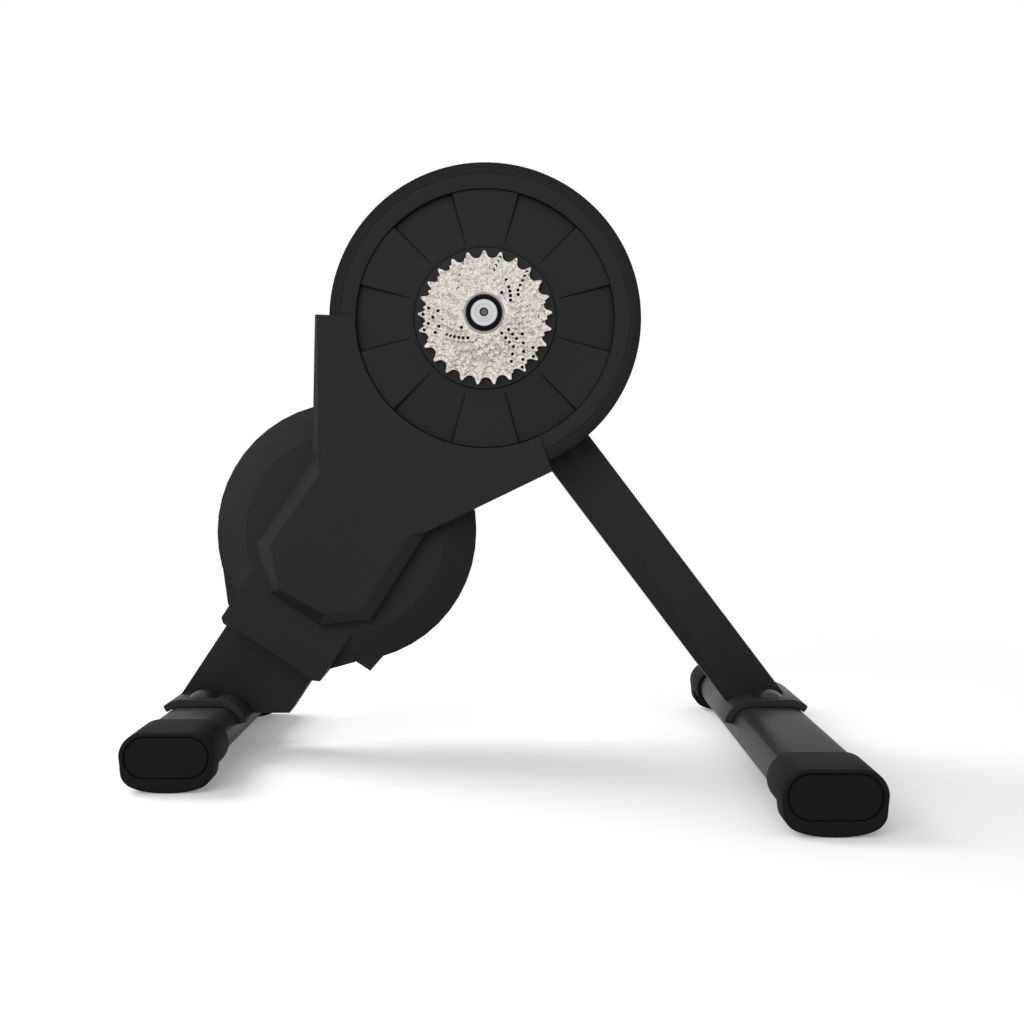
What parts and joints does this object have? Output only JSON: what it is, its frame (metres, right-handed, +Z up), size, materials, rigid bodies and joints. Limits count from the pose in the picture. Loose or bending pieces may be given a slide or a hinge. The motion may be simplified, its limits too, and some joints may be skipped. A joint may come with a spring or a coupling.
{
  "type": "direct drive bike trainer",
  "caption": "Black indoor bike trainer: cassette on a large belt-driven pulley, round flywheel housing and two oval-tube feet under splayed legs, the front one folding.",
  "frame": {"origin": "on the floor below the axle, in the bike's middle plane, which is also the bottom centre of the bounding box", "axes": "+X to the front of the bike, +Y away from the drive side, +Z up"},
  "size_m": [0.5208, 0.49, 0.4716],
  "materials": {
    "cover_plastic": "moulded matte black",
    "knob_plastic": "moulded black",
    "frame_paint": "matte black powder coat",
    "foot_paint": "satin black powder coat",
    "cap_rubber": "matte black",
    "belt_rubber": "matte black",
    "pulley_metal": "matte black",
    "cog_steel": "nickel plated, warm silver",
    "machined_steel": "machined",
    "end_cap_alloy": "turned",
    "cast_iron": "machined",
    "coil_copper": "enamelled copper wire",
    "board": "lacquered circuit board"
  },
  "bodies": {
    "stand": {"main_frame": "frame_paint", "rear_leg": "frame_paint", "rear_saddle": "foot_paint", "rear_foot_bar": "foot_paint", "rear_end_cap_drive": "cap_rubber", "rear_end_cap_far": "cap_rubber", "rear_saddle_bolt_drive": "foot_paint", "rear_saddle_bolt_far": "foot_paint", "pulley_cover": "cover_plastic", "pulley_back_plate": "cover_plastic", "main_cover": "cover_plastic", "flywheel_housing_drive": "cover_plastic", "flywheel_housing_far": "cover_plastic", "axle": "machined_steel", "axle_end_cap_drive": "end_cap_alloy", "axle_end_cap_far": "end_cap_alloy", "axle_seal": "belt_rubber", "hub_bearing_drive": "machined_steel", "hub_bearing_far": "machined_steel", "drive_belt": "belt_rubber", "idler_arm": "machined_steel", "idler_bolt": "machined_steel", "brake_core": "cast_iron", "brake_coil_1": "coil_copper", "brake_coil_2": "coil_copper", "brake_coil_3": "coil_copper", "brake_coil_4": "coil_copper", "circuit_board": "board", "power_inlet": "knob_plastic", "shaft_bearing_drive": "machined_steel", "shaft_bearing_far": "machined_steel", "pivot_pin": "machined_steel"},
    "front_leg": {"front_leg": "frame_paint", "front_saddle": "foot_paint", "front_foot_bar": "foot_paint", "front_end_cap_drive": "cap_rubber", "front_end_cap_far": "cap_rubber", "front_saddle_bolt_drive": "foot_paint", "front_saddle_bolt_far": "foot_paint"},
    "leg_knob": {"leg_knob": "knob_plastic"},
    "drive_pulley": {"drive_pulley": "pulley_metal"},
    "cassette": {"freehub_body": "machined_steel", "lockring": "cog_steel", "cog_11": "cog_steel", "cog_12": "cog_steel", "cog_13": "cog_steel", "cog_14": "cog_steel", "cog_15": "cog_steel", "cog_16": "cog_steel", "cog_17": "cog_steel", "cog_19": "cog_steel", "cog_21": "cog_steel", "cog_23": "cog_steel", "cog_25": "cog_steel"},
    "flywheel": {"flywheel": "cast_iron", "flywheel_shaft": "machined_steel", "motor_pulley": "end_cap_alloy"},
    "idler": {"idler_pulley": "machined_steel"}
  },
  "joints": [
    {"name": "flywheel_spin", "type": "hinge", "parent": "stand", "child": "flywheel", "pos_m": [-0.11142, 0.06, 0.18033], "axis": [0, 1, 0], "continuous": true},
    {"name": "pulley_spin", "type": "hinge", "parent": "stand", "child": "drive_pulley", "pos_m": [0, 0, 0.3493], "axis": [0, 1, 0], "continuous": true},
    {"name": "idler_spin", "type": "hinge", "parent": "stand", "child": "idler", "pos_m": [-0.06097, 0.006, 0.20983], "axis": [0, 1, 0], "continuous": true},
    {"name": "freehub_spin", "type": "hinge", "parent": "drive_pulley", "child": "cassette", "pos_m": [0, -0.04, 0.3493], "axis": [0, 1, 0], "continuous": true},
    {"name": "front_leg_fold", "type": "hinge", "parent": "stand", "child": "front_leg", "pos_m": [0.04587, 0.042, 0.27354], "axis": [0, 1, 0], "range_deg": [0, 50]},
    {"name": "leg_knob_turn", "type": "hinge", "parent": "stand", "child": "leg_knob", "pos_m": [0.04587, 0.073, 0.27354], "axis": [0, 1, 0], "range_deg": [0, 540]}
  ],
  "couplings": [
    {"joint": "pulley_spin", "follows": "flywheel_spin", "ratio": 0.18085},
    {"joint": "idler_spin", "follows": "flywheel_spin", "ratio": 1.3077}
  ]
}
